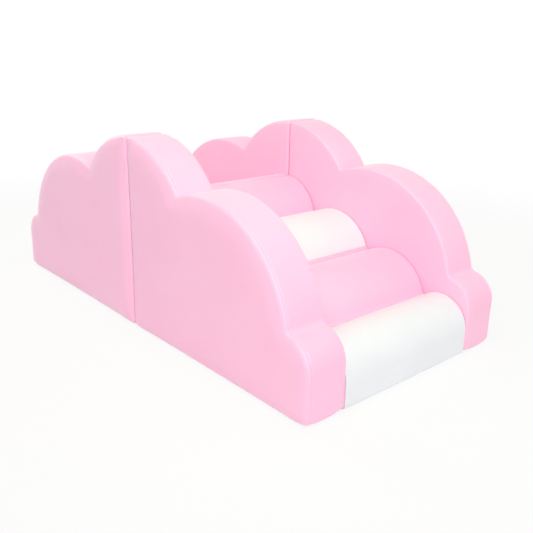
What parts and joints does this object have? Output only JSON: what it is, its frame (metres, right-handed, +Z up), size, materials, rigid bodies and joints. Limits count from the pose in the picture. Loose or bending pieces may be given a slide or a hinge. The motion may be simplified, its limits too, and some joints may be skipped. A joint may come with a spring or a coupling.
{
  "type": "soft play climber",
  "caption": "Padded climb-and-slide: a block of half-round steps and a slide block between foam walls with cloud-shaped tops.",
  "frame": {"origin": "on the floor under the middle of the object", "axes": "+X along the length towards the step end, +Y across towards the right wall, +Z up"},
  "size_m": [1.5032, 0.7594, 0.5738],
  "materials": {
    "pink_cover": "soft pink coated fabric, satin",
    "white_cover": "white coated fabric, satin",
    "foam": "open-cell foam, matte",
    "base_cloth": "grey non-slip cloth, matte",
    "zip": "woven tape with nylon coil",
    "zip_slider": "nickel plated",
    "hook_tape": "white hook tape",
    "loop_tape": "white loop tape"
  },
  "bodies": {
    "step_left_wall": {"step_left_wall_foam": "foam", "step_left_wall_outer_panel": "pink_cover", "step_left_wall_inner_panel": "pink_cover", "step_left_wall_crest_strip": "pink_cover", "step_left_wall_shoulder_strip": "pink_cover", "step_left_wall_base_panel": "base_cloth", "step_left_wall_zip": "zip", "step_left_wall_hook_strip": "hook_tape"},
    "step_left_wall_slider": {"step_left_wall_zip_slider": "zip_slider"},
    "step_right_wall": {"step_right_wall_foam": "foam", "step_right_wall_outer_panel": "pink_cover", "step_right_wall_inner_panel": "pink_cover", "step_right_wall_crest_strip": "pink_cover", "step_right_wall_shoulder_strip": "pink_cover", "step_right_wall_base_panel": "base_cloth", "step_right_wall_zip": "zip", "step_right_wall_hook_strip": "hook_tape"},
    "step_right_wall_slider": {"step_right_wall_zip_slider": "zip_slider"},
    "slide_left_wall": {"slide_left_wall_foam": "foam", "slide_left_wall_outer_panel": "pink_cover", "slide_left_wall_inner_panel": "pink_cover", "slide_left_wall_crest_strip": "pink_cover", "slide_left_wall_shoulder_strip": "pink_cover", "slide_left_wall_base_panel": "base_cloth", "slide_left_wall_zip": "zip", "slide_left_wall_hook_strip": "hook_tape"},
    "slide_left_wall_slider": {"slide_left_wall_zip_slider": "zip_slider"},
    "slide_right_wall": {"slide_right_wall_foam": "foam", "slide_right_wall_outer_panel": "pink_cover", "slide_right_wall_inner_panel": "pink_cover", "slide_right_wall_crest_strip": "pink_cover", "slide_right_wall_shoulder_strip": "pink_cover", "slide_right_wall_base_panel": "base_cloth", "slide_right_wall_zip": "zip", "slide_right_wall_hook_strip": "hook_tape"},
    "slide_right_wall_slider": {"slide_right_wall_zip_slider": "zip_slider"},
    "step_block": {"step_block_foam": "foam", "step_block_left_side": "pink_cover", "step_block_right_side": "pink_cover", "step_block_base_panel": "base_cloth", "step_block_zip": "zip", "step_block_left_loop_strip": "loop_tape", "step_block_right_loop_strip": "loop_tape", "step_block_roll_1_cover": "pink_cover", "step_block_roll_2_cover": "white_cover", "step_block_roll_3_cover": "pink_cover", "step_block_roll_4_cover": "white_cover", "step_block_joint_loop_strip": "loop_tape"},
    "step_block_slider": {"step_block_zip_slider": "zip_slider"},
    "slide_block": {"slide_block_foam": "foam", "slide_block_left_side": "pink_cover", "slide_block_right_side": "pink_cover", "slide_block_base_panel": "base_cloth", "slide_block_zip": "zip", "slide_block_left_loop_strip": "loop_tape", "slide_block_right_loop_strip": "loop_tape", "slide_block_slope_cover": "pink_cover", "slide_block_joint_hook_strip": "hook_tape"},
    "slide_block_slider": {"slide_block_zip_slider": "zip_slider"}
  },
  "joints": [
    {"name": "step_left_wall_pull", "type": "slide", "parent": "step_block", "child": "step_left_wall", "axis": [0, -1, 0], "range_m": [0, 0.25]},
    {"name": "step_right_wall_pull", "type": "slide", "parent": "step_block", "child": "step_right_wall", "axis": [0, 1, 0], "range_m": [0, 0.25]},
    {"name": "slide_half_pull", "type": "slide", "parent": "step_block", "child": "slide_block", "axis": [-1, 0, 0], "range_m": [0, 0.35]},
    {"name": "slide_left_wall_pull", "type": "slide", "parent": "slide_block", "child": "slide_left_wall", "axis": [0, -1, 0], "range_m": [0, 0.25]},
    {"name": "slide_right_wall_pull", "type": "slide", "parent": "slide_block", "child": "slide_right_wall", "axis": [0, 1, 0], "range_m": [0, 0.25]},
    {"name": "step_block_zip_run", "type": "slide", "parent": "step_block", "child": "step_block_slider", "axis": [-1, 0, 0], "range_m": [0, 0.539]},
    {"name": "slide_block_zip_run", "type": "slide", "parent": "slide_block", "child": "slide_block_slider", "axis": [1, 0, 0], "range_m": [0, 0.539]},
    {"name": "step_left_wall_zip_run", "type": "slide", "parent": "step_left_wall", "child": "step_left_wall_slider", "axis": [-1, 0, 0], "range_m": [0, 0.539]},
    {"name": "step_right_wall_zip_run", "type": "slide", "parent": "step_right_wall", "child": "step_right_wall_slider", "axis": [-1, 0, 0], "range_m": [0, 0.539]},
    {"name": "slide_left_wall_zip_run", "type": "slide", "parent": "slide_left_wall", "child": "slide_left_wall_slider", "axis": [1, 0, 0], "range_m": [0, 0.539]},
    {"name": "slide_right_wall_zip_run", "type": "slide", "parent": "slide_right_wall", "child": "slide_right_wall_slider", "axis": [1, 0, 0], "range_m": [0, 0.539]}
  ]
}
